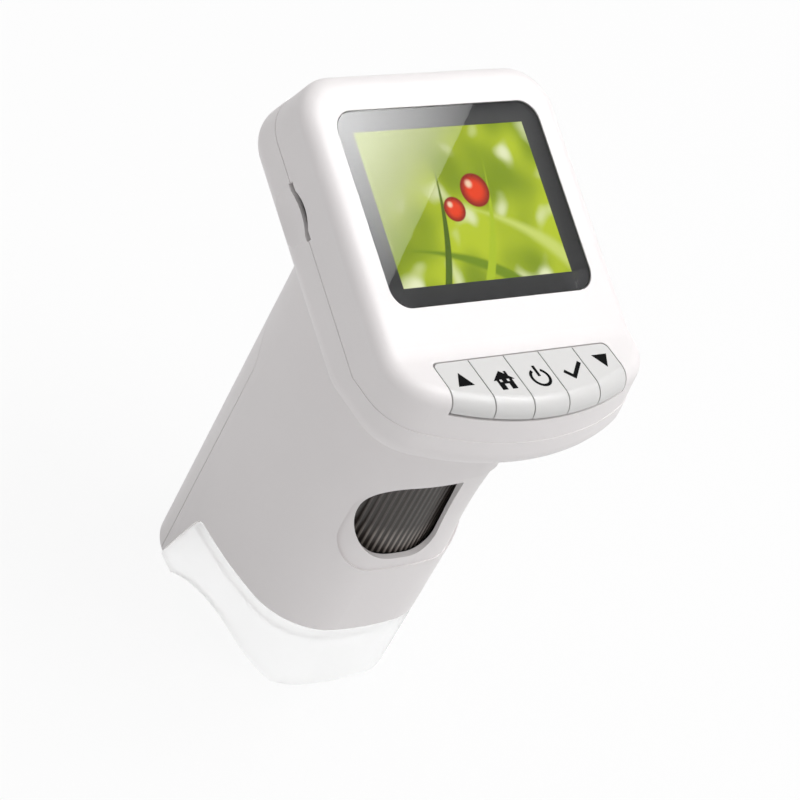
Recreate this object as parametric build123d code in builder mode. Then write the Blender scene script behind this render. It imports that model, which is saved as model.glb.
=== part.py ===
"""Handheld microscope with a tilted screen head on an upright oval body.

Frame: +Z up, the object stands on its clear base cap. The origin is on the ground below the
middle of the object. +X is to the right of somebody who looks at the screen, -Y is their side.
"""

import os
from math import cos, radians, sin, sqrt, tan

from build123d import *

os.makedirs("parts", exist_ok=True)

# ---- Head: a slab tilted towards the user, with a level key ledge (the chin) in front ----
screen_tilt = 24.0  # screen plane, from level
screen_height = 101.0  # centre of the picture, above the ground
head_width = 60.6
head_depth = 18.5  # screen face to underside
face_above = 27.0  # centre of the picture to the head's top end
face_below = 28.5  # centre of the picture to the crease above the keys
chin_reach = 42.2  # centre of the picture to the chin's front wall, measured level
chin_height = 16.0  # key ledge to the chin's underside
chin_bulge = 8.8  # how far the front wall's arc stands out beyond its ends
chin_corner = 10.5
chin_lean = 5.0  # front wall, from upright, leaning back at the top
head_corner = 9.2
top_edge_round = 3.0
under_edge_round = 4.0
crease_round = 9.0
wall = 1.8
seam_depth = 10.0  # screen face to the seam between the two head shells
seam_drop = 8.8  # key ledge to the same seam, in the chin
seam_gap = 0.04
seam_step = 0.12  # the rear shell stands proud of the front one

# ---- Body: an oval tube below the head ----
body_half_width = 20.75
body_half_depth = 24.45
body_side_bulge = 3.1
body_front_bulge = 2.07
body_corner = 14.0
body_draft = 0.29  # each side, widening upwards
body_setback = 4.44  # body's middle, in front of the picture's centre
fit_gap = 0.15  # parts that are screwed or clipped together
flange_reach = 3.0  # rim on top of the body, inside the head
flange_thickness = 2.2

# ---- Clear base cap and the body's two tails behind it ----
cap_height = 16.0
cap_wall = 1.6
cap_lap = 4.0  # spigot above and below the cap's upper edge
spigot_wall = 1.2
arch_width = 30.1  # cut-outs in the cap's foot, one each side
arch_height = 5.2
arch_setback = 6.65  # their middle, in front of the body's middle
tail_foot = 0.6  # ground to the lower tip of the tails
tail_tip = 0.5
tail_lean = 19.6  # tails' front edges, from upright
tail_back = 14.2  # body's middle to where the back cover starts
tail_round = 3.0

# ---- Back cover ----
cover_top = 70.0
cover_arch = 19.6  # radius of its rounded top
clip_wall = 1.2
clip_lap = 2.4
clip_bottom = 22.0
clip_height = 8.0
clip_width = 12.0  # of the tongue at the top

# ---- Focus window ----
window_width = 21.1  # at its foot
window_height = 19.9
window_offset = 4.1  # window's middle, to the left of the body's middle
window_top = 55.2
window_lean = 1.7  # its right side is this much further in at the top
window_upper_round = 7.2
window_sweep_round = 12.3  # lower left
window_lower_round = 4.8
window_tight_round = 0.5
dish_depth = 0.9
dish_height = 23.6
dish_centre = 44.8
dish_width = 35.8
dish_offset = 1.7  # its middle, to the right of the body's middle
dish_edge = 0.3  # its depth along the upper and lower edges
dish_round = 9.0

# ---- Focus wheel and its frame ----
wheel_radius = 17.0
wheel_bottom = 35.0
wheel_height = 22.6
wheel_setback = 5.35  # optical axis, in front of the body's middle
knurl_count = 80
knurl_radius = 0.75
knurl_depth = 0.22
journal_radius = 12.0
journal_height = 1.2  # inside the wheel
journal_end_gap = 0.7
running_gap = 0.06
wheel_under_gap = 0.4
wheel_over_gap = 0.8
plate_thickness = 2.6
frame_back = 13.3  # body's middle to the frame's back wall
frame_wall = 1.2
boss_spread = 14.8  # frame screws, from the middle
boss_length = 4.8
boss_margin = 3.0  # lower and upper frame screws, inside the ends of the wheel

# ---- Optics ----
barrel_radius = 9.0
barrel_bore = 7.4
barrel_bottom = 26.0
barrel_length = 36.8
focus_travel = 4.0  # each way from the middle
collar_radius = 10.1
collar_height = 4.0
sleeve_wall = 2.8
lug_reach = 1.2
lug_width = 2.4
lug_height = 1.6
lens_thickness = 3.2
lens_edge = 1.4
lens_seat = 1.0
sensor_size = 8.0
sensor_thickness = 1.0
sensor_gap = 0.2  # over the rear lens at the top of its travel
sensor_board_width = 24.0
cable_width = 8.0
cable_thickness = 0.3
cable_start = 3.0  # behind the optical axis
cable_end = 3.0  # above the picture's centre, along the face

# ---- Light ring ----
diffuser_thickness = 1.2
diffuser_hole = 7.0
led_count = 8
led_size = 2.8
led_height = 1.2
led_ring_radius = 12.4
led_gap = 0.4
led_board_width = 5.4
standoff_radius = 1.3

# ---- Battery ----
battery_width = 20.0
battery_depth = 6.0
battery_height = 36.0

# ---- Screen ----
picture_width = 40.8
picture_height = 30.6
lens_border = 3.8  # picture to the front lens's left and right edges
lens_margin = 3.9  # picture to its upper and lower edges
lens_corner = 4.2
lens_depth = 1.0
lens_sink = 0.1  # front lens below the screen face
lens_ledge = 2.0
view_corner = 0.5
mask_thickness = 0.2
panel_margin = 1.5
panel_thickness = 1.5
tray_margin = 1.8
tray_depth = 4.0
pad_depth = 1.85
board_edge = 2.0  # board screws to the main board's edges
board_thickness = 1.2
part_gap = 0.6  # between parts inside the head
chip_thickness = 1.0
chip_size = 9.0
chip_side = 6.0  # to the left of the middle
chip_up = 12.0
memory_width = 6.0
memory_length = 8.0
memory_side = 7.0  # to the left of the middle
memory_down = 14.0
driver_width = 5.0
driver_length = 4.0
driver_side = 12.0  # to the right of the middle
driver_up = 2.0

# ---- Keys ----
key_side = 9.3  # in from the head's sides to the row of keys
key_gap = 0.3
key_drop = 3.3  # ledge to the keys' lower edge on the front wall
key_start = 28.1  # centre of the picture to the key row's back edge, measured level
key_travel = 0.3
key_corner = 1.3  # outer rear corners of the row
key_lip = 1.2
key_lip_thickness = 1.0
key_web_depth = 2.0
key_web_gap = 0.4  # row's back edge to the webs
stem_radius = 1.3
stem_back = 5.1  # key row's back edge to the stems
switch_size = 4.5
switch_height = 2.4
plunger_height = 0.6
plunger_radius = 1.0
key_board_drop = 7.2  # ledge to the key board's upper face
key_board_depth = 11.0
key_post_inset = 8.7  # in from the head's sides
key_board_edge = 2.4  # key posts to the key board's ends
key_post_back = 2.5

# ---- Ports and fasteners ----
slot_length = 11.4
slot_height = 1.1
slot_centre = 4.4  # above the picture's centre, along the face
notch_round = 7.4
notch_rise = 1.1  # beyond the slot's edge
slot_lip = 1.2  # wall that is left around the slot
slot_relief = 0.3  # how far the thinner wall goes beyond the slot and its notch
scoop_round = 14.0
scoop_depth = 0.9
scoop_drop = 3.3  # slot to the hollow's middle
card_socket_width = 14.0
card_socket_length = 15.0
card_socket_height = 2.1
card_socket_inset = 0.9  # inside the head's wall
port_side = 16.55  # in from the head's right side
port_width = 9.0
port_height = 3.2
port_length = 7.3
port_wall = 0.3
port_clearance = 0.25
tongue_width = 6.7
tongue_height = 0.7
port_cover_width = 16.3
port_cover_front = 2.9
port_cover_height = 10.6
port_cover_rise = 0.35
port_cover_thickness = 1.2
port_cover_corner = 1.6
port_cover_gap = 0.25
plug_length = 0.55
screw_radius = 0.9
screw_head_radius = 1.7
screw_head_height = 1.1
screw_play = 0.05
boss_radius = 2.3
post_radius = 1.8
shell_screw_length = 8.0
board_screw_length = 4.0
flange_screw_length = 3.2
frame_screw_length = 5.0
board_screw_inset = 5.5  # in from the shell screws
flange_screw_up = 3.0
flange_screw_down = 12.0

# ---- Places worked out from the sizes above ----
slope = radians(screen_tilt)
ledge_z = screen_height - face_below * sin(slope)
chin_bottom = ledge_z - chin_height
seam_z = ledge_z - seam_drop
back_reach = (
    (face_above - under_edge_round) * cos(slope)
    + (head_depth - under_edge_round) * sin(slope)
    + under_edge_round
)
screen_y = (chin_reach - back_reach) / 2
front_y = screen_y - chin_reach
body_y = screen_y - body_setback
axis_y = body_y - wheel_setback
cover_y = body_y + tail_back
reach = 4 * head_width  # longer than the object, for cutting tools
screen_plane = Plane(origin=(0, screen_y, screen_height), x_dir=(1, 0, 0), z_dir=(0, -sin(slope), cos(slope)))

tail_top_y = cover_y - tail_tip - cap_height * tan(radians(tail_lean))
wheel_top = wheel_bottom + wheel_height
lower_plate_top = wheel_bottom - wheel_under_gap
lower_plate_bottom = lower_plate_top - plate_thickness
upper_plate_bottom = wheel_top + wheel_over_gap
upper_plate_top = upper_plate_bottom + plate_thickness
frame_back_y = body_y + frame_back
boss_end_y = frame_back_y - frame_wall
screw_levels = (wheel_bottom + boss_margin, wheel_top - boss_margin)
barrel_top = barrel_bottom + barrel_length
collar_top = barrel_top + collar_height
sleeve_top = collar_top + focus_travel + sensor_thickness + sensor_gap
sensor_board_top = sleeve_top + board_thickness
diffuser_bottom = cap_height + cap_lap
led_bottom = diffuser_bottom + diffuser_thickness + led_gap
led_board_bottom = led_bottom + led_height
led_board_top = led_board_bottom + board_thickness
led_board_inner = led_ring_radius - led_board_width / 2
lens_radius = barrel_bore - screw_play

lens_width = picture_width + 2 * lens_border
lens_height = picture_height + 2 * lens_margin
panel_width = picture_width + 2 * panel_margin
panel_height = picture_height + 2 * panel_margin
panel_front = lens_sink + lens_depth + mask_thickness  # all below the screen face
panel_back = panel_front + panel_thickness
board_front = wall + tray_depth + pad_depth
board_back = board_front + board_thickness
tray_end = panel_height / 2 + tray_margin
boss_x = head_width / 2 - wall - boss_radius + 0.3
boss_up = tray_end + boss_radius + part_gap
post_x = boss_x - board_screw_inset
post_up = tray_end + post_radius + part_gap
shell_screws_at = [(x, u) for x in (-boss_x, boss_x) for u in (-boss_up, boss_up)]
board_screws_at = [(x, u) for x in (-post_x, post_x) for u in (-post_up, post_up)]
board_width = 2 * (post_x + board_edge)
board_height = 2 * (post_up + board_edge)
slot_drop = board_back + card_socket_height / 2
flange_x = body_half_width + flange_reach / 2 + 0.35
flange_screws_at = [(x, u) for x in (-flange_x, flange_x) for u in (-flange_screw_down, flange_screw_up)]
shell_seat = seam_depth + 3.0  # under side of the shell screws' heads

key_back = screen_y - key_start
key_names = ("up_key", "home_key", "power_key", "ok_key", "down_key")
key_row = head_width - 2 * key_side
key_pitch = key_row / len(key_names)
key_bottom = ledge_z - key_drop
key_board_top = ledge_z - key_board_drop
key_board_bottom = key_board_top - board_thickness
plunger_top = key_board_top + switch_height + plunger_height
key_lip_top = ledge_z - wall - key_gap
key_post_x = head_width / 2 - key_post_inset
key_board_width = 2 * (key_post_x + key_board_edge)
key_posts_at = [(x, key_back - key_post_back) for x in (-key_post_x, key_post_x)]
key_centres = [key_pitch * (i - (len(key_names) - 1) / 2) for i in range(len(key_names))]
port_centre = head_width / 2 - port_side
port_drop = board_back + port_height / 2
cover_centre_drop = port_cover_front + port_cover_height / 2


def on_side(up, out):
    """Side-view place (y, z) of a point up the screen face and out from it."""
    y = screen_y + up * cos(slope) - out * sin(slope)
    z = screen_height + up * sin(slope) + out * cos(slope)
    return (y, z)


def meets_level(out, z):
    """Side-view place where a plane parallel to the screen face crosses the height z."""
    up = (z - screen_height - out * cos(slope)) / sin(slope)
    return on_side(up, out)


# Looks at the head's top end; its second axis runs away from the screen face.
end_plane = Plane(origin=(0, *on_side(face_above, 0)), x_dir=(1, 0, 0), z_dir=(0, cos(slope), sin(slope)))
# Across the chin's leaning front wall; the y axis runs back from it.
chin_plane = Plane(
    origin=(0, front_y, chin_bottom),
    x_dir=(1, 0, 0),
    z_dir=(0, sin(radians(chin_lean)), cos(radians(chin_lean))),
)
# Looks at the head's left side; its first axis runs up the face, its second away from it.
left_plane = Plane(
    origin=(-head_width / 2, screen_y, screen_height),
    x_dir=(0, cos(slope), sin(slope)),
    z_dir=(-1, 0, 0),
)


def across(points, half_width=reach):
    """Solid whose side-view outline is given, from left to right of the object."""
    with BuildPart() as block:
        with BuildSketch(Plane.YZ):
            with BuildLine():
                Polyline(*points, close=True)
            make_face()
        extrude(amount=half_width, both=True)
    return block.part


def box(x, y, z):
    """Block between pairs of coordinates."""
    with BuildPart() as block:
        with Locations(((x[0] + x[1]) / 2, (y[0] + y[1]) / 2, (z[0] + z[1]) / 2)):
            Box(x[1] - x[0], y[1] - y[0], z[1] - z[0])
    return block.part


def tube(places, radius, low, high, plane=Plane.XY):
    """Round posts at several places of a plane, between two heights over it."""
    with BuildPart() as posts:
        with BuildSketch(plane.offset(low)):
            with Locations(*places):
                Circle(radius)
        extrude(amount=high - low)
    return posts.part


def slab(width, height, low, high, corner, plane=Plane.XY, centre=(0, 0)):
    """Plate with rounded corners, between two heights over a plane."""
    with BuildPart() as plate:
        with BuildSketch(plane.offset(low)):
            with Locations(centre):
                RectangleRounded(width, height, corner)
        extrude(amount=high - low)
    return plate.part


def screws(places, length, seat, plane=Plane.XY):
    """Pan-head screws whose heads rest on a level of the plane and whose shanks go down."""
    with BuildPart() as set_of:
        add(tube(places, screw_radius, seat - length, seat, plane))
        add(tube(places, screw_head_radius, seat, seat + screw_head_height, plane))
        heads = set_of.edges().filter_by(GeomType.CIRCLE).filter_by(
            lambda e: abs(e.radius - screw_head_radius) < 0.01
        )
        tops = heads.filter_by(lambda e: abs(plane.to_local_coords(e.center()).Z - seat) > 0.01)
        chamfer(tops, screw_head_height / 3)
    return set_of.part


def rim(faces):
    """Outer edges of a patch of neighbouring faces."""
    edges = [edge for face in faces for edge in face.edges()]
    return ShapeList(e for e in edges if sum(e.is_same(other) for other in edges) == 1)


def head_form(inset):
    """Outside of the head, drawn in by a wall."""
    half = head_width / 2 - inset
    with BuildPart() as form:
        with BuildSketch(Plane.YZ):
            with BuildLine():
                Polyline(
                    on_side(face_above - inset, -inset),
                    meets_level(-inset, ledge_z - inset),
                    (front_y - chin_bulge, ledge_z - inset),
                    (front_y - chin_bulge, chin_bottom + inset),
                    meets_level(inset - head_depth, chin_bottom + inset),
                    on_side(face_above - inset, inset - head_depth),
                    close=True,
                )
            make_face()
        extrude(amount=half, both=True)
        across_edges = form.edges().filter_by(Axis.X)
        crease_y = meets_level(-inset, ledge_z - inset)[0]
        bend_y = meets_level(inset - head_depth, chin_bottom + inset)[0]
        crease = across_edges.filter_by(lambda e: abs(e.center().Y - crease_y) < 0.01)
        bend = across_edges.filter_by(lambda e: abs(e.center().Y - bend_y) < 0.01)
        fillet(crease, crease_round + inset)
        fillet(bend, crease_round)
        with BuildSketch(screen_plane.offset(-head_depth - reach / 2)) as slab_outline:
            with Locations((0, face_above - inset - reach / 2)):
                Rectangle(2 * half, reach)
            top_corners = slab_outline.vertices().group_by(Axis.Y)[-1]
            fillet(top_corners, head_corner - inset)
        extrude(amount=reach, mode=Mode.INTERSECT)
        with BuildSketch(chin_plane) as chin_outline:
            with BuildLine():
                ThreePointArc((-half, inset + chin_bulge), (0, inset), (half, inset + chin_bulge))
                Polyline(
                    (half, inset + chin_bulge), (half, reach), (-half, reach), (-half, inset + chin_bulge)
                )
            make_face()
            front_corners = chin_outline.vertices().group_by(Axis.Y)[0]
            fillet(front_corners, chin_corner - inset)
        extrude(amount=reach, both=True, mode=Mode.INTERSECT)
        fillet(rim(form.faces().filter_by(lambda f: f.normal_at().Z > 0.88)), top_edge_round - inset)
        fillet(rim(form.faces().filter_by(lambda f: f.normal_at().Z < -0.88)), under_edge_round - inset)
    return form.part


def body_face(inset, z):
    """Body's plan outline at a height, drawn in by a wall."""
    inset = inset - (z - cap_height) * tan(radians(body_draft))
    half_x = body_half_width - inset
    half_y = body_half_depth - inset
    corner_x = half_x - body_side_bulge
    corner_y = half_y - body_front_bulge
    with BuildSketch(Plane((0, body_y, z))) as outline:
        with BuildLine():
            ThreePointArc((corner_x, -corner_y), (half_x, 0), (corner_x, corner_y))
            ThreePointArc((corner_x, corner_y), (0, half_y), (-corner_x, corner_y))
            ThreePointArc((-corner_x, corner_y), (-half_x, 0), (-corner_x, -corner_y))
            ThreePointArc((-corner_x, -corner_y), (0, -half_y), (corner_x, -corner_y))
        make_face()
        fillet(outline.vertices(), body_corner - inset)
    return outline.sketch


def body_form(inset, low, high):
    """Body between two heights, drawn in by a wall."""
    with BuildPart() as form:
        extrude(body_face(inset, 0), amount=reach, taper=-body_draft)
        add(box((-reach, reach), (-reach, reach), (low, high)), mode=Mode.INTERSECT)
    return form.part


def above(out, z):
    """Everything above a bend: parallel to the screen face behind, level in front."""
    bend = [on_side(reach, out), meets_level(out, z), (-reach, z)]
    return across(bend + [(-reach, reach), on_side(reach, reach)])


def cap_side(gap):
    """Side view of the clear cap, kept off the body by a gap."""
    with BuildPart() as block:
        with BuildSketch(Plane.YZ) as view:
            with BuildLine():
                Polyline(
                    (-reach, -reach),
                    (-reach, cap_height - gap),
                    (tail_top_y - gap, cap_height - gap),
                    (cover_y - tail_tip - gap, 0),
                    (cover_y - tail_tip - gap, -reach),
                    close=True,
                )
            make_face()
            corner = view.vertices().filter_by(lambda v: abs(v.X - tail_top_y + gap) < 0.01)
            fillet(corner, tail_round)
        extrude(amount=reach, both=True)
    return block.part


def cover_side(gap):
    """Back view of the back cover, kept off the body by a gap."""
    with BuildPart() as block:
        with BuildSketch(Plane.XZ.offset(-cover_y - gap)):
            with Locations((0, cover_top - cover_arch)):
                Circle(cover_arch - gap)
            with Locations((0, (cover_top - cover_arch) / 2 - reach / 2)):
                Rectangle(2 * (cover_arch - gap), cover_top - cover_arch + reach)
        extrude(amount=-reach)
    return block.part


def dish():
    """Shallow hollow around the focus window."""
    run = dish_height / 2 / sqrt(1 - dish_edge / dish_depth)
    with BuildPart() as waist:
        for t in (-1, -0.5, 0, 0.5, 1):
            add(body_face(dish_depth * (1 - t * t), dish_centre + t * run))
        loft()
    with BuildPart() as hollow:
        with BuildSketch(Plane.XZ.offset(-body_y)) as view:
            with Locations((dish_offset, dish_centre)):
                RectangleRounded(dish_width, dish_height, dish_round)
        extrude(amount=reach)
        add(waist.part, mode=Mode.SUBTRACT)
    return hollow.part


def window():
    """Opening over the focus wheel, cut from the front."""
    left = -window_offset - window_width / 2
    right = window_width / 2 - window_offset
    bottom = window_top - window_height
    with BuildPart() as opening:
        with BuildSketch(Plane.XZ.offset(-axis_y)) as view:
            with BuildLine():
                Polyline(
                    (right - window_lean, window_top),
                    (left, window_top),
                    (left, bottom),
                    (right, bottom),
                    close=True,
                )
            make_face()
            for x, z, size in (
                (left, window_top, window_upper_round),
                (left, bottom, window_sweep_round),
                (right, bottom, window_lower_round),
                (right - window_lean, window_top, window_tight_round),
            ):
                fillet(view.vertices().sort_by_distance((x, z, 0))[0], size)
        extrude(amount=reach)
    return opening.part


def turned(profile):
    """Body of revolution about the optical axis from an outline of (radius, height)."""
    with BuildPart() as solid:
        with BuildSketch(Plane((0, axis_y, 0), x_dir=(1, 0, 0), z_dir=(0, -1, 0))):
            with BuildLine():
                Polyline(*profile, close=True)
            make_face()
        revolve(axis=Axis((0, axis_y, 0), (0, 0, 1)))
    return solid.part


def ring(inner, outer, low, high):
    """Ring about the optical axis."""
    return turned([(inner, low), (outer, low), (outer, high), (inner, high)])


def sag(radius):
    """Depth of a lens surface below its pole, at a distance from the axis."""
    bulge = (lens_thickness - lens_edge) / 2
    curve = (lens_radius**2 + bulge**2) / (2 * bulge)
    return curve - sqrt(curve**2 - radius**2)


def lens(low):
    """Biconvex lens on the optical axis, from its lower pole."""
    middle = low + lens_thickness / 2
    with BuildPart() as glass:
        with BuildSketch(Plane((0, axis_y, 0), x_dir=(1, 0, 0), z_dir=(0, -1, 0))):
            with BuildLine():
                for side in (-1, 1):
                    surface = [
                        (r, middle + side * (lens_thickness / 2 - sag(r)))
                        for r in (0, lens_radius / 2, lens_radius)
                    ]
                    ThreePointArc(*surface)
                Line((lens_radius, middle - lens_edge / 2), (lens_radius, middle + lens_edge / 2))
                Line((0, middle - lens_thickness / 2), (0, middle + lens_thickness / 2))
            make_face()
        revolve(axis=Axis((0, axis_y, 0), (0, 0, 1)))
    return glass.part


outer_form = head_form(0)
rear_form = head_form(-seam_step)
cavity = head_form(wall)
wall_middle = head_form(wall / 2)
floor_out = wall - head_depth
floor_z = chin_bottom + wall


def key_cut(x, width, gap, low):
    """Column over the key ledge, open to the front, with round rear corners."""
    with BuildPart() as column:
        with BuildSketch(Plane.XY.offset(low)) as plan:
            with Locations((x, (key_back + gap - reach) / 2)):
                Rectangle(width + 2 * gap, key_back + gap + reach)
            fillet(plan.vertices().group_by(Axis.Y)[-1], key_corner)
        extrude(amount=ledge_z + 1 - low)
    return column.part


def port_opening(gap):
    """Passage for the port through the head's top end."""
    size = (port_width + 2 * gap, port_height + 2 * gap)
    centre = (port_centre, port_drop)
    return slab(*size, -head_depth, 1, port_height / 2 + gap - 0.1, end_plane, centre)


def cover_plate(gap, low, high):
    """Port cover's plate, in the head's top end."""
    size = (port_cover_width + 2 * gap, port_cover_height + 2 * gap)
    return slab(*size, low, high, port_cover_corner + gap, end_plane, (port_centre, cover_centre_drop))


def side_cuts():
    """Card slot in the head's left side, with a thumb notch in its edge and a hollow beside it."""
    notch_top = slot_drop - slot_height / 2 - notch_rise
    with BuildPart() as cuts:
        with BuildSketch(left_plane.offset(1)):
            with Locations((slot_centre, slot_drop - notch_rise / 2)):
                Rectangle(slot_length, slot_height + notch_rise)
            with Locations((slot_centre, notch_top + notch_round)):
                Circle(notch_round, mode=Mode.INTERSECT)
            with Locations((slot_centre, slot_drop)):
                Rectangle(slot_length, slot_height)
        extrude(amount=-1 - 2 * wall)
        with BuildSketch(left_plane.offset(-slot_lip)):
            with Locations((slot_centre, slot_drop - notch_rise / 2)):
                Rectangle(slot_length + 2 * slot_relief, slot_height + notch_rise + 2 * slot_relief)
        extrude(amount=-wall)
        middle = (slot_centre, slot_drop + scoop_drop, scoop_round - scoop_depth)
        with Locations(left_plane.from_local_coords(middle)):
            Sphere(scoop_round)
    return cuts.part


end_cuts = cover_plate(port_cover_gap, port_cover_rise - port_cover_thickness - port_cover_gap, 1)
slot_cuts = side_cuts()

def shell_bosses(low, high):
    """Posts for the shell screws, cut off in the middle of the head's wall."""
    with BuildPart() as posts:
        add(wall_middle)
        add(tube(shell_screws_at, boss_radius, low, high, screen_plane), mode=Mode.INTERSECT)
    return posts.part


# ---- Head shells ----
with BuildPart() as head_front_shell:
    add(outer_form)
    add(cavity, mode=Mode.SUBTRACT)
    add(shell_bosses(-seam_depth, 0))
    add(tube(board_screws_at, post_radius, -board_front, -wall / 2, screen_plane))
    add(above(seam_gap / 2 - seam_depth, seam_z + seam_gap / 2), mode=Mode.INTERSECT)
    lens_size = (lens_width + 2 * fit_gap, lens_height + 2 * fit_gap)
    add(slab(*lens_size, -panel_front, 1, lens_corner, screen_plane), mode=Mode.SUBTRACT)
    view_size = (lens_width - 2 * lens_ledge, lens_height - 2 * lens_ledge)
    add(slab(*view_size, -2 * wall, 0, view_corner, screen_plane), mode=Mode.SUBTRACT)
    add(key_cut(0, key_row - key_gap, key_gap, key_bottom - 2 * key_travel), mode=Mode.SUBTRACT)
    pilot = screw_radius + screw_play
    add(
        tube(shell_screws_at, pilot, -shell_seat, shell_screw_length - shell_seat + 0.3, screen_plane),
        mode=Mode.SUBTRACT,
    )
    add(
        tube(board_screws_at, pilot, -board_back, board_screw_length - board_back + 0.3, screen_plane),
        mode=Mode.SUBTRACT,
    )
    add(end_cuts, mode=Mode.SUBTRACT)
    add(port_opening(port_clearance), mode=Mode.SUBTRACT)
    add(slot_cuts, mode=Mode.SUBTRACT)
head_front_shell.part.label = "head_front_shell"

with BuildPart() as head_rear_shell:
    add(rear_form)
    add(cavity, mode=Mode.SUBTRACT)
    add(shell_bosses(-head_depth, -seam_depth))
    add(above(-seam_gap / 2 - seam_depth, seam_z - seam_gap / 2), mode=Mode.SUBTRACT)
    add(tube(key_posts_at, post_radius, floor_z - wall / 2, key_board_bottom))
    add(body_form(-fit_gap, 0, screen_height), mode=Mode.SUBTRACT)
    add(tube(shell_screws_at, pilot, -shell_seat, 0, screen_plane), mode=Mode.SUBTRACT)
    head_room = screw_head_radius + 2 * screw_play
    add(tube(shell_screws_at, head_room, -head_depth - reach, -shell_seat, screen_plane), mode=Mode.SUBTRACT)
    flange_top = floor_out + flange_thickness
    screw_end = flange_top - flange_screw_length
    add(tube(flange_screws_at, pilot, screw_end - screw_play, flange_top, screen_plane), mode=Mode.SUBTRACT)
    add(
        tube(key_posts_at, pilot, key_board_top - board_screw_length - 0.3, key_board_top),
        mode=Mode.SUBTRACT,
    )
    add(end_cuts, mode=Mode.SUBTRACT)
    add(port_opening(port_clearance), mode=Mode.SUBTRACT)
    add(slot_cuts, mode=Mode.SUBTRACT)
head_rear_shell.part.label = "head_rear_shell"

shell_plane = Plane(screen_plane.origin, x_dir=(1, 0, 0), z_dir=-screen_plane.z_dir)
mirrored_at = [(x, -u) for x, u in shell_screws_at]
shell_screws = screws(mirrored_at, shell_screw_length, shell_seat, shell_plane)
shell_screws.label = "shell_screws"

# ---- Screen ----
lens_back = -lens_sink - lens_depth
screen_lens = slab(lens_width, lens_height, lens_back, -lens_sink, lens_corner, screen_plane)
screen_lens.label = "screen_lens"

with BuildPart() as screen_mask:
    add(slab(lens_width, lens_height, -panel_front, lens_back, lens_corner, screen_plane))
    with BuildSketch(screen_plane):
        Rectangle(picture_width, picture_height)
    extrude(amount=-head_depth, mode=Mode.SUBTRACT)
screen_mask.part.label = "screen_mask"

lcd_panel = slab(panel_width, panel_height, -panel_back, -panel_front, 0.3, screen_plane)
lcd_panel.label = "lcd_panel"

with BuildPart() as lcd_tray:
    tray_size = (panel_width + 2 * tray_margin, panel_height + 2 * tray_margin)
    add(slab(*tray_size, -wall - tray_depth, -wall, 1, screen_plane))
    pocket_size = (panel_width + 2 * fit_gap, panel_height + 2 * fit_gap)
    add(slab(*pocket_size, -panel_back, 0, 0.3, screen_plane), mode=Mode.SUBTRACT)
lcd_tray.part.label = "lcd_tray"

lcd_pad = slab(panel_width, panel_height, -board_front, -wall - tray_depth, 2, screen_plane)
lcd_pad.label = "lcd_pad"

with BuildPart() as main_board:
    add(slab(board_width, board_height, -board_back, -board_front, 1, screen_plane))
    add(tube(board_screws_at, pilot, -board_back, -board_front, screen_plane), mode=Mode.SUBTRACT)
main_board.part.label = "main_board"

with BuildPart() as main_chips:
    for width, length, place in (
        (chip_size, chip_size, (-chip_side, chip_up)),
        (memory_width, memory_length, (-memory_side, -memory_down)),
        (driver_width, driver_length, (driver_side, driver_up)),
    ):
        chip_levels = (-board_back - chip_thickness, -board_back)
        add(slab(width, length, *chip_levels, chip_thickness / 4, screen_plane, place))
main_chips.part.label = "main_chips"

with BuildPart() as card_socket:
    socket_left = -head_width / 2 + wall + card_socket_inset
    centre = (socket_left + card_socket_width / 2, slot_centre)
    low = -board_back - card_socket_height
    add(slab(card_socket_width, card_socket_length, low, -board_back, 0.4, screen_plane, centre))
    with BuildSketch(left_plane.offset(0)):
        with Locations((slot_centre, slot_drop)):
            Rectangle(slot_length, card_socket_height / 2)
    extrude(amount=socket_left - card_socket_width + head_width / 2 - wall, mode=Mode.SUBTRACT)
card_socket.part.label = "card_socket"

with BuildPart() as usb_socket:
    mouth = -wall + 0.1
    centre = (port_centre, port_drop)
    size = (port_width - 0.1, port_height)
    add(slab(*size, mouth - port_length, mouth, port_height / 2 - 0.1, end_plane, centre))
    hollow = (port_width - 0.1 - 2 * port_wall, port_height - 2 * port_wall)
    hollow_floor = mouth - port_length + 1
    add(
        slab(*hollow, hollow_floor, mouth, port_height / 2 - port_wall - 0.1, end_plane, centre),
        mode=Mode.SUBTRACT,
    )
    add(slab(tongue_width, tongue_height, hollow_floor, mouth - 0.8, 0.2, end_plane, centre))
usb_socket.part.label = "usb_socket"

with BuildPart() as port_cover:
    plate_back = port_cover_rise - port_cover_thickness
    add(cover_plate(0, plate_back, port_cover_rise))
    top_face = port_cover.faces().sort_by(lambda f: -end_plane.to_local_coords(f.center()).Z)[0]
    fillet(top_face.edges(), port_cover_rise * 0.8)
    plug = (port_width - 2 * port_cover_gap, port_height - 2 * port_cover_gap)
    add(slab(*plug, plate_back - plug_length, plate_back, plug[1] / 2 - 0.1, end_plane, centre))
port_cover.part.label = "port_cover"

# ---- Keys ----
keys = {}
row = key_cut(0, key_row - key_gap, 0, key_bottom)
for name, x in zip(key_names, key_centres):
    with BuildPart() as key:
        add(outer_form)
        add(cavity, mode=Mode.SUBTRACT)
        add(row, mode=Mode.INTERSECT)
        half = (key_pitch - key_gap) / 2
        add(box((x - half, x + half), (-reach, reach), (0, reach)), mode=Mode.INTERSECT)
        lip_z = (key_lip_top - key_lip_thickness, key_lip_top)
        web_y = (key_back - key_web_depth, key_back - key_web_gap)
        add(box((x - half, x + half), (web_y[0], key_back + key_gap + key_lip), lip_z))
        web_z = (key_lip_top - key_lip_thickness, ledge_z - wall / 2)
        web_x = (x - half + key_corner, x + half - key_corner)
        add(box(web_x, web_y, web_z))
        stem_z = (plunger_top + 2 * key_travel, ledge_z - wall / 2)
        add(tube([(x, key_back - stem_back)], stem_radius, *stem_z))
    key.part.label = name
    keys[name] = key.part

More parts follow.
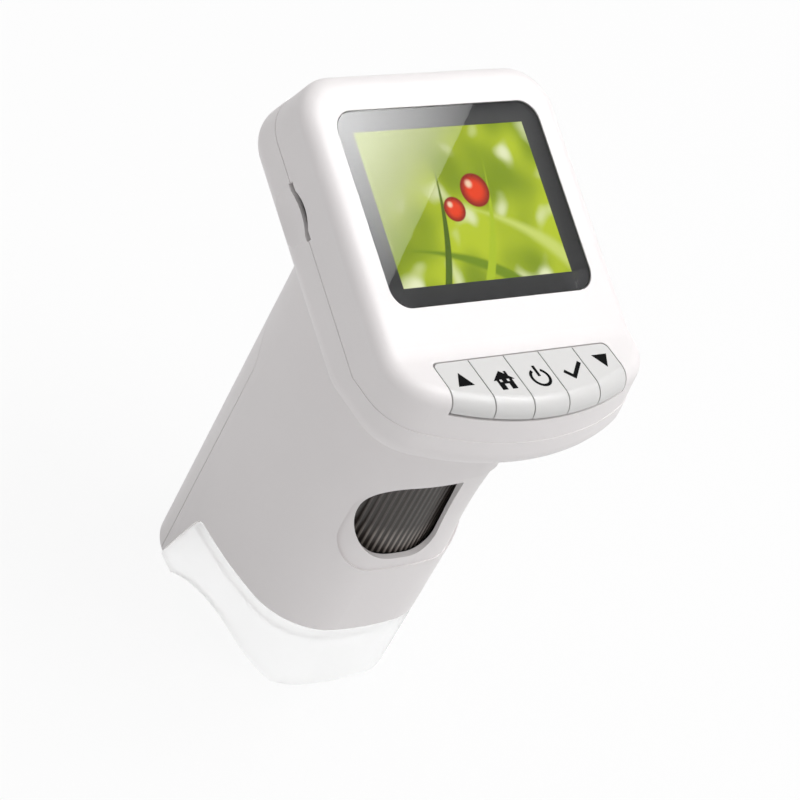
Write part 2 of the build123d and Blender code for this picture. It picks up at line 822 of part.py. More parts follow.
with BuildPart() as key_board:
    board_y = (key_back - key_board_depth, key_back + 0.4)
    add(box((-key_board_width / 2, key_board_width / 2), board_y, (key_board_bottom, key_board_top)))
    add(head_form(wall + 2 * fit_gap), mode=Mode.INTERSECT)
    add(tube(key_posts_at, pilot, key_board_bottom, key_board_top), mode=Mode.SUBTRACT)
key_board.part.label = "key_board"

with BuildPart() as tact_switches:
    stems_at = [(x, key_back - stem_back) for x in key_centres]
    with BuildSketch(Plane.XY.offset(key_board_top)):
        with Locations(*stems_at):
            Rectangle(switch_size, switch_size)
    extrude(amount=switch_height)
    add(tube(stems_at, plunger_radius, key_board_top + switch_height, plunger_top))
tact_switches.part.label = "tact_switches"

with BuildPart() as board_screws:
    places = [(x, -u) for x, u in board_screws_at]
    add(screws(places, board_screw_length, board_back, shell_plane))
    add(screws(key_posts_at, board_screw_length, key_board_top))
board_screws.part.label = "board_screws"

# ---- Body ----
with BuildPart() as body_shell:
    add(body_form(-flange_reach, 0, screen_height))
    add(cavity, mode=Mode.INTERSECT)
    add(body_form(0, tail_foot, screen_height))
    add(above(floor_out + flange_thickness, floor_z + flange_thickness), mode=Mode.SUBTRACT)
    add(dish(), mode=Mode.SUBTRACT)
    add(body_form(wall, 0, screen_height), mode=Mode.SUBTRACT)
    with BuildPart(mode=Mode.PRIVATE) as bosses:
        for side in (-1, 1):
            for z in screw_levels:
                near = side * (boss_spread - boss_radius)
                far = side * body_half_width
                add(
                    box(
                        sorted((near, far)),
                        (boss_end_y - boss_length, boss_end_y),
                        (z - boss_radius, z + boss_radius),
                    )
                )
        add(body_form(wall / 2, 0, screen_height), mode=Mode.INTERSECT)
    add(bosses.part)
    add(cap_side(0), mode=Mode.SUBTRACT)
    add(cover_side(0), mode=Mode.SUBTRACT)
    add(window(), mode=Mode.SUBTRACT)
    boss_plane = Plane((0, boss_end_y, 0), x_dir=(-1, 0, 0), z_dir=(0, 1, 0))
    frame_screws_at = [(x, z) for x in (-boss_spread, boss_spread) for z in screw_levels]
    depth = frame_screw_length - frame_wall
    add(tube(frame_screws_at, pilot, -depth - 0.3, 1, boss_plane), mode=Mode.SUBTRACT)
    add(tube(flange_screws_at, pilot, floor_out, flange_top, screen_plane), mode=Mode.SUBTRACT)
body_shell.part.label = "body_shell"

flange_screws = screws(flange_screws_at, flange_screw_length, flange_top, screen_plane)
flange_screws.label = "flange_screws"

clip_inset = wall + fit_gap
with BuildPart() as back_cover:
    add(body_form(0, tail_foot, screen_height))
    add(body_form(wall, 0, screen_height), mode=Mode.SUBTRACT)
    add(cover_side(fit_gap), mode=Mode.INTERSECT)
    with BuildPart(mode=Mode.PRIVATE) as clips:
        add(body_form(wall / 2, clip_bottom, clip_bottom + clip_height))
        add(body_form(clip_inset + clip_wall, 0, screen_height), mode=Mode.SUBTRACT)
        low, high = clip_bottom, clip_bottom + clip_height
        add(box((-reach, reach), (cover_y + fit_gap, cover_y + clip_lap), (low, high)), mode=Mode.INTERSECT)
    with BuildPart(mode=Mode.PRIVATE) as hooks:
        add(body_form(clip_inset, clip_bottom, clip_bottom + clip_height))
        add(body_form(clip_inset + clip_wall, 0, screen_height), mode=Mode.SUBTRACT)
        add(box((-reach, reach), (cover_y - clip_lap, cover_y + 1), (low, high)), mode=Mode.INTERSECT)
    with BuildPart(mode=Mode.PRIVATE) as tongue:
        add(body_form(clip_inset, cover_top - 2 * clip_lap, cover_top + clip_lap))
        add(body_form(clip_inset + clip_wall, 0, screen_height), mode=Mode.SUBTRACT)
        tongue_z = (cover_top - 2 * clip_lap, cover_top + clip_lap)
        add(box((-clip_width / 2, clip_width / 2), (body_y, reach), tongue_z), mode=Mode.INTERSECT)
    with BuildPart(mode=Mode.PRIVATE) as tongue_root:
        add(body_form(wall / 2, cover_top - 2 * clip_lap, cover_top - clip_lap))
        add(body_form(clip_inset + clip_wall, 0, screen_height), mode=Mode.SUBTRACT)
        root_z = (cover_top - 2 * clip_lap, cover_top - clip_lap)
        add(box((-clip_width / 2, clip_width / 2), (body_y, reach), root_z), mode=Mode.INTERSECT)
    add(clips.part)
    add(hooks.part)
    add(tongue.part)
    add(tongue_root.part)
back_cover.part.label = "back_cover"

with BuildPart() as base_cap:
    add(body_form(0, 0, cap_height))
    add(body_form(cap_wall, 0, cap_height), mode=Mode.SUBTRACT)
    with BuildPart(mode=Mode.PRIVATE) as shoulder:
        add(body_form(cap_wall / 2, cap_height - cap_lap, cap_height))
        add(body_form(clip_inset + spigot_wall, 0, screen_height), mode=Mode.SUBTRACT)
    add(shoulder.part)
    add(cap_side(fit_gap), mode=Mode.INTERSECT)
    with BuildPart(mode=Mode.PRIVATE) as spigot:
        add(body_form(clip_inset, cap_height - cap_lap, cap_height + cap_lap))
        add(body_form(clip_inset + spigot_wall, 0, screen_height), mode=Mode.SUBTRACT)
        add(box((-reach, reach), (-reach, cover_y - clip_lap), (0, reach)), mode=Mode.INTERSECT)
    add(spigot.part)
    arch_radius = (arch_width**2 / 4 + arch_height**2) / (2 * arch_height)
    with BuildSketch(Plane.YZ):
        with Locations((body_y - arch_setback, arch_height - arch_radius)):
            Circle(arch_radius)
    extrude(amount=reach, both=True, mode=Mode.SUBTRACT)
base_cap.part.label = "base_cap"

# ---- Light ring ----
with BuildPart() as diffuser_plate:
    add(body_form(clip_inset, diffuser_bottom, diffuser_bottom + diffuser_thickness))
    add(ring(0, diffuser_hole, 0, screen_height), mode=Mode.SUBTRACT)
diffuser_plate.part.label = "diffuser_plate"

led_board_outer = led_ring_radius + led_board_width / 2
led_board = ring(led_board_inner, led_board_outer, led_board_bottom, led_board_top)
led_board.label = "led_board"

with BuildPart() as leds:
    with BuildSketch(Plane((0, axis_y, led_bottom))):
        with PolarLocations(led_ring_radius, led_count, start_angle=180 / led_count):
            Rectangle(led_size, led_size)
    extrude(amount=led_height)
leds.part.label = "leds"

# ---- Focus wheel and its frame ----
with BuildPart() as wheel_frame:
    add(body_form(clip_inset, lower_plate_bottom, lower_plate_top))
    with BuildPart(mode=Mode.PRIVATE) as rest:
        add(body_form(clip_inset, lower_plate_bottom, upper_plate_top))
        inside_y = (-reach, frame_back_y - frame_wall)
        add(box((-reach, reach), inside_y, (lower_plate_top, upper_plate_bottom)), mode=Mode.SUBTRACT)
        add(box((-reach, reach), (frame_back_y, reach), (0, screen_height)), mode=Mode.SUBTRACT)
    add(rest.part)
    journal_low = wheel_bottom + journal_height
    journal_high = wheel_top - journal_height
    add(ring(barrel_radius, journal_radius, lower_plate_bottom, journal_low))
    add(ring(barrel_radius, journal_radius, journal_high, upper_plate_top))
    sleeve_bore = collar_radius + running_gap
    add(ring(sleeve_bore, sleeve_bore + sleeve_wall, upper_plate_bottom, sleeve_top))
    with BuildSketch(Plane((0, axis_y, led_board_top))):
        with PolarLocations(led_ring_radius + 1, 4, start_angle=45):
            Circle(standoff_radius)
    extrude(amount=lower_plate_bottom - led_board_top)
    barrel_room = barrel_radius + 2 * fit_gap
    add(ring(0, barrel_room, led_board_top, upper_plate_top), mode=Mode.SUBTRACT)
    add(ring(0, sleeve_bore, upper_plate_bottom, sleeve_top), mode=Mode.SUBTRACT)
    slot = lug_width / 2 + running_gap
    lug_room = collar_radius + lug_reach + 2 * fit_gap
    slot_y = (axis_y - lug_room, axis_y + lug_room)
    add(box((-slot, slot), slot_y, (upper_plate_top, reach)), mode=Mode.SUBTRACT)
    add(tube(frame_screws_at, pilot, -reach, reach, boss_plane), mode=Mode.SUBTRACT)
wheel_frame.part.label = "wheel_frame"

frame_screws = screws(frame_screws_at, frame_screw_length, frame_wall, boss_plane)
frame_screws.label = "frame_screws"

with BuildPart() as focus_wheel:
    add(ring(barrel_radius + running_gap, wheel_radius, wheel_bottom, wheel_top))
    room = journal_radius + running_gap
    add(ring(0, room, 0, journal_low + journal_end_gap), mode=Mode.SUBTRACT)
    add(ring(0, room, journal_high - journal_end_gap, reach), mode=Mode.SUBTRACT)
    with BuildSketch(Plane((0, axis_y, wheel_bottom))):
        with PolarLocations(wheel_radius + knurl_radius - knurl_depth, knurl_count):
            Circle(knurl_radius)
    extrude(amount=wheel_height, mode=Mode.SUBTRACT)
focus_wheel.part.label = "focus_wheel"

with BuildPart() as lens_barrel:
    add(ring(barrel_bore, barrel_radius, barrel_bottom, barrel_top))
    add(ring(barrel_bore, collar_radius, barrel_top, collar_top))
    add(ring(barrel_bore - lens_seat, barrel_radius, barrel_bottom, barrel_bottom + lens_seat))
    with BuildPart(mode=Mode.PRIVATE) as lugs:
        add(ring(barrel_bore, collar_radius + lug_reach, collar_top - lug_height, collar_top))
        half = lug_width / 2
        add(box((-half, half), (-reach, reach), (0, reach)), mode=Mode.INTERSECT)
    add(lugs.part)
lens_barrel.part.label = "lens_barrel"

objective_lens = lens(barrel_bottom + lens_seat - sag(barrel_bore - lens_seat) + screw_play)
objective_lens.label = "objective_lens"
rear_lens = lens(collar_top - lens_thickness)
rear_lens.label = "rear_lens"

# ---- Image sensor ----
half_board = sensor_board_width / 2
board_y = (axis_y - half_board, axis_y + half_board)
sensor_board = box((-half_board, half_board), board_y, (sleeve_top, sensor_board_top))
sensor_board.label = "sensor_board"
half_sensor = sensor_size / 2
sensor_y = (axis_y - half_sensor, axis_y + half_sensor)
image_sensor = box((-half_sensor, half_sensor), sensor_y, (sleeve_top - sensor_thickness, sleeve_top))
image_sensor.label = "image_sensor"

sensor_cable = across(
    [
        (axis_y + cable_start, sensor_board_top),
        (axis_y + half_board, sensor_board_top),
        on_side(cable_end, -board_back),
        on_side(cable_end - cable_thickness, -board_back),
        (axis_y + half_board - cable_thickness, sensor_board_top + cable_thickness),
        (axis_y + cable_start, sensor_board_top + cable_thickness),
    ],
    cable_width / 2,
)
sensor_cable.label = "sensor_cable"

# ---- Battery ----
battery_z = (lower_plate_top, lower_plate_top + battery_height)
battery_y = (frame_back_y, frame_back_y + battery_depth)
battery = box((-battery_width / 2, battery_width / 2), battery_y, battery_z)
battery.label = "battery"

nodes = [
    head_front_shell.part,
    head_rear_shell.part,
    shell_screws,
    screen_lens,
    screen_mask.part,
    lcd_panel,
    lcd_tray.part,
    lcd_pad,
    main_board.part,
    main_chips.part,
    card_socket.part,
    usb_socket.part,
    port_cover.part,
    *keys.values(),
    key_board.part,
    tact_switches.part,
    board_screws.part,
    body_shell.part,
    flange_screws,
    back_cover.part,
    base_cap.part,
    diffuser_plate.part,
    led_board,
    leds.part,
    wheel_frame.part,
    frame_screws,
    focus_wheel.part,
    lens_barrel.part,
    objective_lens,
    rear_lens,
    sensor_board,
    image_sensor,
    sensor_cable,
    battery,
]
for node in nodes:
    export_step(node, f"parts/{node.label}.step")
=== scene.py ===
# %% [markdown]
# # A handheld microscope with a screen
# The object is a white moulded head with a display and five keys, on an oval body that stands on a
# clear cap. The solids are already made, so this lesson gives them their finishes, adds the printed
# marks, and sets up the light and the camera.

# %% Load the solids
from math import atan2, cos, hypot, pi, radians, sin

import bmesh
import bpy
from mathutils import Matrix, Quaternion, Vector


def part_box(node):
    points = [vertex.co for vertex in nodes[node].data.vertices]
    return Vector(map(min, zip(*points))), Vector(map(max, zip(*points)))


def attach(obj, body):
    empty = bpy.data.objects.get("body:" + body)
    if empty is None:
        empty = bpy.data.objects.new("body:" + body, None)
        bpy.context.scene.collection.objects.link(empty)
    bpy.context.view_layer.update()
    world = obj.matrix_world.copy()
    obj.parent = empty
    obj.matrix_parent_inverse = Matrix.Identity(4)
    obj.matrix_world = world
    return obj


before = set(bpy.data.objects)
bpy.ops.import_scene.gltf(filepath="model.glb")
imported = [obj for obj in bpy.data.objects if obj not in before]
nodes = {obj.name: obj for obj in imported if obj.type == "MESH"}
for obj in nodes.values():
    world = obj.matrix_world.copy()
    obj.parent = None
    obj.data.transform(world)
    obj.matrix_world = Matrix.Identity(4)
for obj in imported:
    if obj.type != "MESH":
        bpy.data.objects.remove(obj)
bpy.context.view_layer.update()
scene = bpy.context.scene
scene.view_settings.view_transform = "Standard"
MM = 0.001

# %% [markdown]
# ## Camera
# The view is from the front left and above, with the camera rolled, so that the object leans in it. A
# long lens keeps its sides nearly parallel. The camera comes first, because everything after it is
# judged through it.

# %% Place the camera
camera_data = bpy.data.cameras.new("camera")
camera_data.lens = 157.5
camera_data.sensor_width = 36
camera_data.clip_start = 0.05
camera = bpy.data.objects.new("camera", camera_data)
scene.collection.objects.link(camera)
camera.location = (-0.4182, -0.3341, 0.4500)
look = Vector((0.6323, 0.4998, -0.5920))
roll = Quaternion((0, 0, 1), radians(29.36))
camera.rotation_mode = "QUATERNION"
camera.rotation_quaternion = look.to_track_quat("-Z", "Y") @ roll
scene.camera = camera
print("camera at", tuple(camera.location), "lens", camera_data.lens)

# %% [markdown]
# ## Four small helpers
# Colours are written as sRGB hex values, the way a paint chart gives them, and one function turns
# them to the linear values that shaders expect. One function adds a node of any kind, with its
# settings and links, and hands back its outputs. A Mix node has sockets for every type of value under
# the same names, so its colours are reached by number: 6 and 7 in, 2 out. The last two start an empty
# material, and count a pattern's scale in real millimetres.


# %% Colour, node, material and scale
def linear(hex_colour):
    """RGBA for a shader from an sRGB hex value."""
    channels = [int(hex_colour[i : i + 2], 16) / 255 for i in (1, 3, 5)]
    curve = [c / 12.92 if c <= 0.04045 else ((c + 0.055) / 1.055) ** 2.4 for c in channels]
    return (*curve, 1.0)


def node(tree, kind, inputs=None, **settings):
    """Adds a node and gives its outputs; an input that is a socket is linked, any other is set."""
    made = tree.nodes.new("ShaderNode" + kind)
    for name, value in settings.items():
        setattr(made, name, value)
    for name, value in (inputs or {}).items():
        if isinstance(value, bpy.types.NodeSocket):
            tree.links.new(value, made.inputs[name])
        else:
            made.inputs[name].default_value = value
    return made.outputs


def new_material(name):
    """Material with an empty node tree."""
    material = bpy.data.materials.new(name)
    material.use_nodes = True
    material.node_tree.nodes.clear()
    return material, material.node_tree


def in_mm(tree, size=1.0, origin=(0, 0, 0), turn=(0, 0, 0)):
    """Object coordinates counted in steps of a real size in millimetres, from an origin in mm."""
    place = {
        "Vector": node(tree, "TexCoord")["Object"],
        "Location": [v * MM for v in origin],
        "Rotation": turn,
        "Scale": (size * MM,) * 3,
    }
    return node(tree, "Mapping", place, vector_type="TEXTURE")["Vector"]


# %% [markdown]
# ## Moulded plastics
# The shells are white ABS from a mould with a very fine spark-eroded texture: nearly smooth, with a
# soft broad sheen. The texture could be real bumps in the mesh, but it is far too fine for that, so a
# Bump node tilts the light instead. Bumps 0.35 mm apart are drawn a little coarser than real ones,
# and a slow change in roughness stands for handling. The same recipe serves every moulded piece.

# %% Moulded plastic
HANDLED = 14.0  # mm across the patches that fingers leave
BUMP_STRENGTH = 0.35


def moulded(name, colour, roughness, grain, depth, shade=0.03, ior=1.53):
    """Moulded plastic: one slightly uneven colour, and the mould's texture by grain and depth in mm."""
    material, tree = new_material(name)
    cloud = node(tree, "TexNoise", {"Vector": in_mm(tree, HANDLED), "Scale": 1.0, "Detail": 3.0})["Fac"]
    grit = node(tree, "TexNoise", {"Vector": in_mm(tree, grain), "Scale": 1.0, "Detail": 2.0})["Fac"]
    base = linear(colour)
    worn = (*(c * (1 - shade) for c in base[:3]), 1.0)
    tint = node(tree, "Mix", {0: cloud, 6: base, 7: worn}, data_type="RGBA")[2]
    sheen = {"Value": cloud, "To Min": roughness * 0.9, "To Max": min(roughness * 1.12, 1)}
    rough = node(tree, "MapRange", sheen)["Result"]
    relief = {"Height": grit, "Strength": BUMP_STRENGTH, "Distance": depth * MM}
    bump = node(tree, "Bump", relief)["Normal"]
    skin = {"Base Color": tint, "Roughness": rough, "Normal": bump, "IOR": ior}
    node(tree, "OutputMaterial", {"Surface": node(tree, "BsdfPrincipled", skin)[0]})
    return material


# %% White outside pieces
# Satin ABS with a soft broad sheen; the keys' mould is polished a little more than the shells'. The
# keys' colour is a greyer copy of the shells' white: painted shade that keeps their level tops darker.
white_abs = moulded("white_abs_spark_textured", "#EAE6E6", 0.42, 0.35, 0.02)
key_abs_painted_shade = moulded("white_abs_keys_painted_shade", "#D6D5D4", 0.34, 0.3, 0.012)
# Soft TPE has no gloss, so the port's cover looks a little duller than the shell round it.
cover_tpe = moulded("white_tpe_port_cover", "#E4E3E1", 0.58, 0.3, 0.03)
# Frosted acrylic scatters the light of the LEDs and looks like matt paper.
diffuser = moulded("frosted_acrylic_diffuser", "#F0EFEC", 0.6, 0.3, 0.02)
print("white plastics", white_abs.name, key_abs_painted_shade.name, cover_tpe.name, diffuser.name)

# %% Dark inside pieces
# Black ABS, polycarbonate and nylon keep stray light down: near black, with a dim wide sheen.
black_abs = moulded("black_abs_frame", "#1E1E1F", 0.5, 0.4, 0.03)
barrel_pc = moulded("black_polycarbonate_barrel", "#101011", 0.45, 0.3, 0.02)
switch_abs = moulded("black_nylon_switch_housing", "#19191B", 0.45, 0.3, 0.02)
# Moulded epoxy is matt and slightly grainy, and foam has dimples half a millimetre apart.
chip_resin = moulded("moulded_epoxy_chip", "#141416", 0.6, 0.2, 0.02)
foam = moulded("closed_cell_foam", "#202022", 0.95, 0.5, 0.25)
# Solder mask is a glossy varnish, darker and lighter green where copper lies under it.
board_mask = moulded("green_solder_mask_board", "#0E4A26", 0.35, 1.2, 0.03, shade=0.25)
# Polyimide film is smooth, amber and a little glossy.
film = moulded("amber_polyimide_film", "#8A4E12", 0.3, 2.0, 0.02)
print("inside", black_abs.name, barrel_pc.name, chip_resin.name, board_mask.name, film.name)

# %% [markdown]
# ## Inks
# The frame round the picture is a screen print on film, under the front lens. The key symbols are pad
# prints. Both inks are matt, with an IOR below a real ink's, so that the lens or key alone is glossy.

# %% Screen print and pad print
PRINT_INK = "#48484A"
print_black = moulded("black_screen_print", PRINT_INK, 0.6, 0.4, 0.01, ior=1.1)
mark_black = moulded("black_pad_print", "#0F0F10", 0.9, 0.3, 0.01, ior=1.15)
print("inks", print_black.name, mark_black.name)

# %% [markdown]
# ## The focus wheel
# The focus wheel is dark ABS with a fine knurl. Its ridges are painted paler than the grooves, partly as
# wear and partly as a painted highlight on their tops, most of all towards the wheel's lower end, where
# fingers turn it. Ridge and groove are told apart by their distance from the wheel's axis, so the paler
# ridges follow the solid's real shape.

# %% Worn ridges of the wheel, with a painted highlight
RIDGE_FROM, RIDGE_TO = 0.15, 0.01  # mm below the wheel's rim: clean groove, rubbed and highlit ridge
WEAR_AND_HIGHLIGHT_NONE, WEAR_AND_HIGHLIGHT_FULL = 7.0, 4.2  # mm above the wheel's lower end
LEAST_WEAR_AND_HIGHLIGHT = 0.22

wheel_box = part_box("focus_wheel")
wheel_radius = (wheel_box[1].x - wheel_box[0].x) / 2 / MM
wheel_middle = [(wheel_box[0][i] + wheel_box[1][i]) / 2 / MM for i in (0, 1)]
wheel_abs, tree = new_material("dark_abs_focus_wheel_worn_and_highlit")
spot = in_mm(tree, 1.0, (*wheel_middle, wheel_box[0].z / MM))
flat = node(tree, "VectorMath", {0: spot, 1: (1, 1, 0)}, operation="MULTIPLY")["Vector"]
ridge = {
    "Value": node(tree, "VectorMath", {0: flat}, operation="LENGTH")["Value"],
    "From Min": wheel_radius - RIDGE_FROM,
    "From Max": wheel_radius - RIDGE_TO,
}
wear_and_highlight = {
    "Value": node(tree, "SeparateXYZ", {"Vector": spot})["Z"],
    "From Min": WEAR_AND_HIGHLIGHT_NONE,
    "From Max": WEAR_AND_HIGHLIGHT_FULL,
    "To Min": LEAST_WEAR_AND_HIGHLIGHT,
}
on_ridge = node(tree, "MapRange", ridge)["Result"]
# Painted highlight together with wear: the ridge tops turn paler towards the wheel's lower end.
worn_and_highlit = node(tree, "Math", {0: on_ridge, 1: node(tree, "MapRange", wear_and_highlight)["Result"]}, operation="MULTIPLY")[0]
tint = node(tree, "Mix", {0: worn_and_highlit, 6: linear("#332D29"), 7: linear("#8E8680")}, data_type="RGBA")[2]
shader = node(tree, "BsdfPrincipled", {"Base Color": tint, "Roughness": 0.36})[0]
node(tree, "OutputMaterial", {"Surface": shader})
print("wheel radius", wheel_radius, "middle", wheel_middle)

# %% [markdown]
# ## Clear pieces
# The cap is moulded polycarbonate, slightly milky. The front lens is clear acrylic, glued to the
# printed film. Glue leaves no air gap, so the lens's rear face has no gloss of its own, and the ink
# reaches round its edge. Real layers of glue and ink are too thin to render cleanly, so the lens's
# material makes them, from the depth behind the screen's plane and the way that each face looks.

# %% Plane of the screen
SCREEN_TILT = radians(24.0)  # from level
SCREEN_CENTRE = (0.0, 5.645, 101.0)  # mm
SCREEN_NORMAL = (0, -sin(SCREEN_TILT), cos(SCREEN_TILT))
print("screen centre", SCREEN_CENTRE, "normal", SCREEN_NORMAL)

# %% Lens glued to its print
LENS_REAR = -1.05  # mm from the screen's plane, just in front of the lens's rear face
EDGE_LOOKS = 0.5  # cosine of the angle to the screen's normal, below which a face is an edge


def glued(tree, shader):
    """A clear window's shader with no gloss on its rear face and ink on its edges."""
    plane = in_mm(tree, 1.0, SCREEN_CENTRE, (SCREEN_TILT, 0, 0))
    depth = node(tree, "SeparateXYZ", {"Vector": plane})["Z"]
    rear = node(tree, "Math", {0: depth, 1: LENS_REAR}, operation="LESS_THAN")[0]
    glue = node(tree, "BsdfTransparent")[0]
    shader = node(tree, "MixShader", {0: rear, 1: shader, 2: glue})[0]
    looks = {0: node(tree, "TexCoord")["Normal"], 1: SCREEN_NORMAL}
    level = node(tree, "VectorMath", looks, operation="DOT_PRODUCT")["Value"]
    level = node(tree, "Math", {0: level}, operation="ABSOLUTE")[0]
    edge = node(tree, "Math", {0: level, 1: EDGE_LOOKS}, operation="LESS_THAN")[0]
    ink = node(tree, "BsdfDiffuse", {"Color": linear(PRINT_INK)})[0]
    return node(tree, "MixShader", {0: edge, 1: shader, 2: ink})[0]


# %% Clear plastics and glass
FLOW = 9.0  # mm between the faint lines that the melt leaves


def clear(name, colour, roughness, ior, bonded=False, transmission=1.0):
    """Clear plastic or glass with faint flow lines; a bonded one is glued to the screen's print."""
    material, tree = new_material(name)
    lines = node(tree, "TexNoise", {"Vector": in_mm(tree, FLOW), "Scale": 1.0, "Detail": 2.0})["Fac"]
    haze = {"Value": lines, "To Min": roughness * 0.8, "To Max": roughness * 1.2}
    rough = node(tree, "MapRange", haze)["Result"]
    body = {"Base Color": linear(colour), "Roughness": rough, "IOR": ior}
    shader = node(tree, "BsdfPrincipled", {**body, "Transmission Weight": transmission})[0]
    node(tree, "OutputMaterial", {"Surface": glued(tree, shader) if bonded else shader})
    return material


# The cap is drawn frosted with a low IOR, so that it stays pale and milky against a pale floor.
cap_pc = clear("milky_polycarbonate_cap", "#FFFFFF", 0.7, 1.2, transmission=0.96)
# The lens is polished, and its coating keeps reflections weaker than bare acrylic's.
lens_pmma = clear("coated_acrylic_lens", "#FFFFFF", 0.01, 1.35, bonded=True)
# Optical glass is polished finer still, with a faint cool tint from its coating.
optical_glass = clear("coated_optical_glass", "#F4F8FF", 0.005, 1.52)
print("clear", cap_pc.name, lens_pmma.name, optical_glass.name)

# %% [markdown]
# ## Metals
# Sockets and screws are plated steel, the display's tray is pressed aluminium, and the cell is
# wrapped in foil. All are thin rolled sheet or small turned parts, so the eye sees a soft grey gloss
# that changes a little over less than a millimetre. A noise that small in the roughness gives that.

# %% Plated and pressed metal
ROLLED = 0.6  # mm between the changes that rolling and plating leave


def plated(name, colour, roughness):
    """Plated, pressed or foil metal, with a fine uneven gloss."""
    material, tree = new_material(name)
    lines = node(tree, "TexNoise", {"Vector": in_mm(tree, ROLLED), "Scale": 1.0, "Detail": 4.0})["Fac"]
    gloss = {"Value": lines, "To Min": roughness * 0.8, "To Max": roughness * 1.3}
    rough = node(tree, "MapRange", gloss)["Result"]
    skin = {"Base Color": linear(colour), "Roughness": rough, "Metallic": 1.0}
    node(tree, "OutputMaterial", {"Surface": node(tree, "BsdfPrincipled", skin)[0]})
    return material


plated_steel = plated("nickel_plated_steel", "#C4C4C2", 0.3)
zinc_steel = plated("zinc_plated_screw_steel", "#A9A9A6", 0.35)
tray_aluminium = plated("pressed_aluminium_tray", "#BDBDBF", 0.4)
foil = plated("laminated_cell_foil", "#B9BABC", 0.45)
print("metals", plated_steel.name, zinc_steel.name, tray_aluminium.name, foil.name)

# %% [markdown]
# ## The picture on the display
# The display shows what a magnifier might see: soft green leaves out of focus, a few blades and two
# small red berries on a stem. An image file could be used, but this one is drawn with nodes in the
# plane of the screen, in millimetres from the picture's centre, so it stays sharp at any size. Each
# form is a distance from a line or a point, and one function lays a colour over the picture where
# such a distance says so.


# %% Lay a colour over the picture
def lay(tree, picture, colour, measure, low, high):
    """Covers the picture with a colour as a measure goes from low to high, with a soft step between."""
    step = {"Value": measure, "From Min": low, "From Max": high}
    share = node(tree, "MapRange", step, interpolation_type="SMOOTHSTEP")["Result"]
    return node(tree, "Mix", {0: share, 6: picture, 7: colour}, data_type="RGBA")[2]


# %% Soft green ground
HAZE, GLOW = 0.07, 0.16  # patches per mm: 14 mm and 6 mm across

display_picture, tree = new_material("lit_display_with_leaves_and_berries")
plane = in_mm(tree, 1.0, SCREEN_CENTRE, (SCREEN_TILT, 0, 0))
haze = node(tree, "TexNoise", {"Vector": plane, "Scale": HAZE, "Detail": 1.0})["Fac"]
glow = node(tree, "TexNoise", {"Vector": plane, "Scale": GLOW, "Detail": 0.5})["Fac"]
picture = lay(tree, linear("#859E00"), linear("#BED022"), haze, 0.36, 0.64)
picture = lay(tree, picture, linear("#F0F6C8"), glow, 0.55, 0.78)
print("ground of", len(tree.nodes), "nodes")


# %% Blades of grass
def blade(picture, colour, start, end, width, soft):
    """Lays a long bowed leaf over the picture, from one point to another, tapering to its tip."""
    run = (end[0] - start[0], end[1] - start[1])
    length = hypot(*run)
    own = {"Vector": plane, "Location": (*start, 0), "Rotation": (0, 0, atan2(run[1], run[0]))}
    axes = node(tree, "SeparateXYZ", {"Vector": node(tree, "Mapping", own, vector_type="TEXTURE")[0]})
    square = node(tree, "Math", {0: axes["X"], 1: axes["X"]}, operation="MULTIPLY")[0]
    bow = {0: square, 1: -0.35 * width / length, 2: axes["Y"]}
    aside = node(tree, "Math", bow, operation="MULTIPLY_ADD")[0]
    aside = node(tree, "Math", {0: aside}, operation="ABSOLUTE")[0]
    taper = {"Value": axes["X"], "From Min": length, "From Max": length * 0.2, "To Max": width}
    half = node(tree, "MapRange", taper, interpolation_type="SMOOTHSTEP")["Result"]
    edge = node(tree, "Math", {0: half, 1: aside}, operation="SUBTRACT")[0]
    return lay(tree, picture, linear(colour), edge, 0.0, soft)


BLADES = (  # colour, foot and tip in mm, half width and softness in mm
    ("#9DBB22", (-24, -6), (-2, 19), 3.4, 2.6),
    ("#D2E070", (24, -18), (9, 17), 2.6, 2.2),
    ("#759400", (12, -20), (-17, 9), 1.7, 1.0),
    ("#506C00", (-12, -20), (6, 13), 0.9, 0.3),
    ("#B2CA1E", (-3, -20), (19, 8), 1.1, 0.4),
)
for leaf in BLADES:
    picture = blade(picture, *leaf)
axes = node(tree, "SeparateXYZ", {"Vector": plane})
corner = node(tree, "Math", {0: axes["Y"], 1: axes["X"]}, operation="SUBTRACT")[0]
picture = lay(tree, picture, linear("#8E9C00"), corner, 2, 22)  # shade towards the upper left corner
print("blades", len(BLADES))

# %% Berries
flat = node(tree, "VectorMath", {0: plane, 1: (1, 1, 0)}, operation="MULTIPLY")["Vector"]


def berry(picture, x, y, radius):
    """Lays a round berry over the picture, with a darker rim and a small highlight."""
    away = node(tree, "VectorMath", {0: flat, 1: (x, y, 0)}, operation="DISTANCE")["Value"]
    lit = (x - 0.3 * radius, y + 0.38 * radius, 0)
    shine = node(tree, "VectorMath", {0: flat, 1: lit}, operation="DISTANCE")["Value"]
    skin = lay(tree, linear("#F2400A"), linear("#8A1400"), away, 0.35 * radius, radius)
    skin = lay(tree, skin, linear("#FFD9B8"), shine, 0.34 * radius, 0.08 * radius)
    return lay(tree, picture, skin, away, radius, radius - 0.25)


for x, y, radius in ((3.6, 2.4, 3.5), (-2.6, -1.0, 2.6)):
    picture = berry(picture, x, y, radius)
print("picture of", len(tree.nodes), "nodes")

# %% Light of the display
# The panel gives its own light, and its face is a dark film with hardly any gloss under the lens.
panel = {
    "Base Color": linear("#050505"),
    "Roughness": 0.5,
    "IOR": 1.1,
    "Emission Color": picture,
    "Emission Strength": 0.9,
}
node(tree, "OutputMaterial", {"Surface": node(tree, "BsdfPrincipled", panel)[0]})
print("display", display_picture.name)

# %% [markdown]
# ## Dressing the solids
# Each solid keeps its shape and gets the finish of the real piece. A table of finishes and the solids
# that wear them is easier to check than forty single lines.

